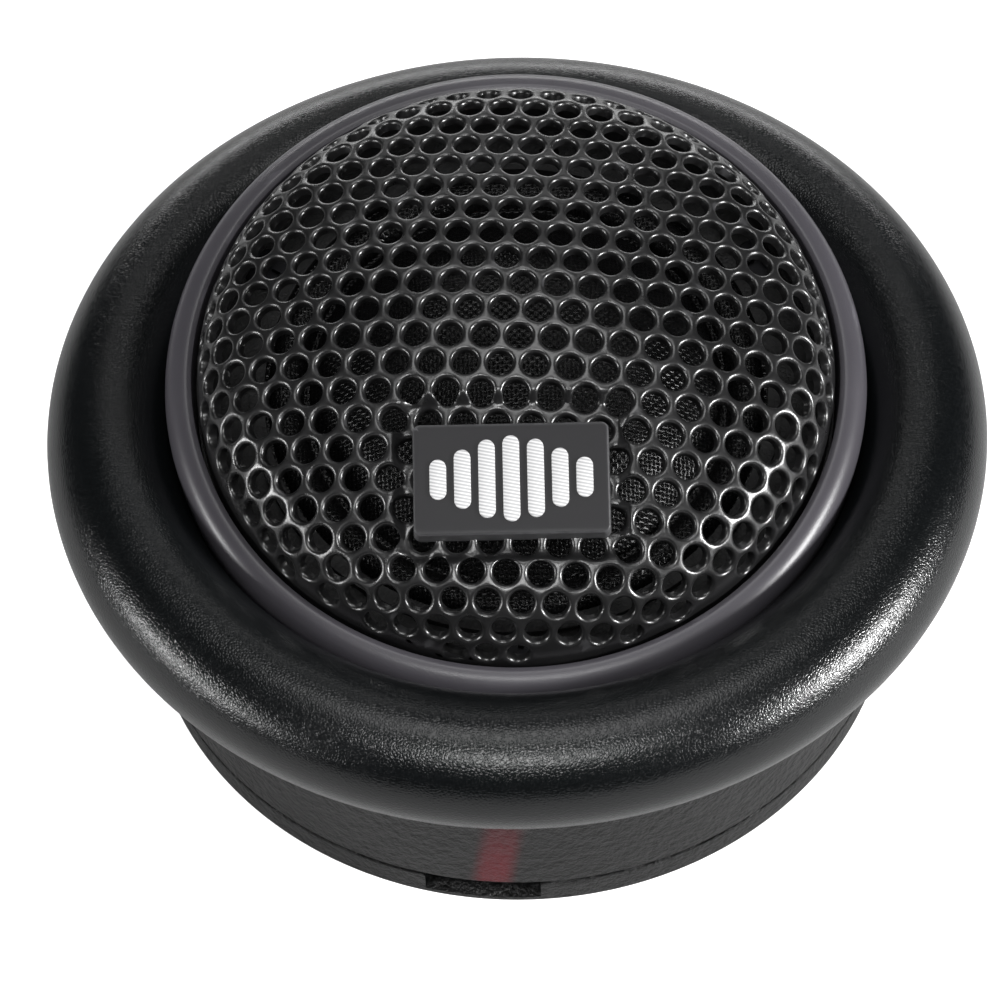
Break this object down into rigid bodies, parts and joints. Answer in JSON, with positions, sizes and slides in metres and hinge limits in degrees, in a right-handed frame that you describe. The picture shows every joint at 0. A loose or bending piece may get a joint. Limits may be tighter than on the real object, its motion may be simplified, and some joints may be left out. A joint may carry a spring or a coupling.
{
  "type": "car tweeter",
  "caption": "Round surface-mount dome tweeter: a tilting, turning head with a perforated domed grille in a cup with a thick rounded trim ring.",
  "frame": {"origin": "centre of the base plate's underside, the mounting face", "axes": "+Z away from the mounting face; -Y towards the side that the head leans to at rest, where the cable channel is; +X completes the frame"},
  "size_m": [0.057, 0.057, 0.0298],
  "materials": {
    "cup_plastic": "coarse spark-eroded grain, semi-matt",
    "ring_plastic": "fine leather grain, satin",
    "bezel_plastic": "smooth satin",
    "shell_plastic": "smooth satin",
    "grille_paint": "semi-gloss black powder coat on steel sheet",
    "badge_plastic": "satin dark grey",
    "emblem_print": "fine brushed silver-white",
    "cradle_plastic": "plain moulded",
    "rubber": "matt",
    "plate_plastic": "plain moulded",
    "silk": "woven silk with a coating, slight sheen",
    "steel_zinc": "zinc plated",
    "steel_black": "blackened screw",
    "neodymium": "nickel plated",
    "felt": "felt",
    "board": "phenolic paper board",
    "brass_tab": "tinned brass",
    "capacitor_resin": "dipped resin",
    "former_film": "polyimide film",
    "copper_wire": "enamelled copper"
  },
  "bodies": {
    "base": {"base_plate": "cup_plastic", "base_screws": "steel_zinc", "mounting_cup": "cup_plastic", "trim_ring": "ring_plastic"},
    "cradle": {"swivel_cradle": "cradle_plastic", "friction_ring": "rubber"},
    "head": {"bezel": "bezel_plastic", "grille": "grille_paint", "badge_plate": "badge_plastic", "badge_emblem": "emblem_print", "faceplate": "plate_plastic", "surround_ring": "plate_plastic", "surround": "silk", "top_plate": "steel_zinc", "magnet": "neodymium", "yoke": "steel_zinc", "damping_pad": "felt", "head_shell": "shell_plastic", "head_screws": "steel_black", "guide_screw": "steel_zinc", "guide_washer": "steel_zinc", "disc_spring": "steel_zinc", "terminal_board": "board", "positive_tab": "brass_tab", "negative_tab": "brass_tab", "capacitor": "capacitor_resin", "lead_grommet": "rubber", "tinsel_leads": "copper_wire"},
    "diaphragm": {"silk_dome": "silk", "coil_former": "former_film", "voice_coil": "copper_wire"}
  },
  "joints": [
    {"name": "head_turn", "type": "hinge", "parent": "base", "child": "cradle", "pos_m": [0, 0, 0.021], "axis": [0, 0, 1], "range_deg": [-170, 170]},
    {"name": "head_tilt", "type": "hinge", "parent": "cradle", "child": "head", "pos_m": [0, 0, 0.021], "axis": [1, 0, 0], "range_deg": [-26, 4]},
    {"name": "diaphragm_stroke", "type": "slide", "parent": "head", "child": "diaphragm", "axis": [0, -0.1908, 0.9816], "range_m": [-0.0004, 0.0004], "stiffness_N_per_m": 10000, "deforming": ["surround", "tinsel_leads"]}
  ]
}
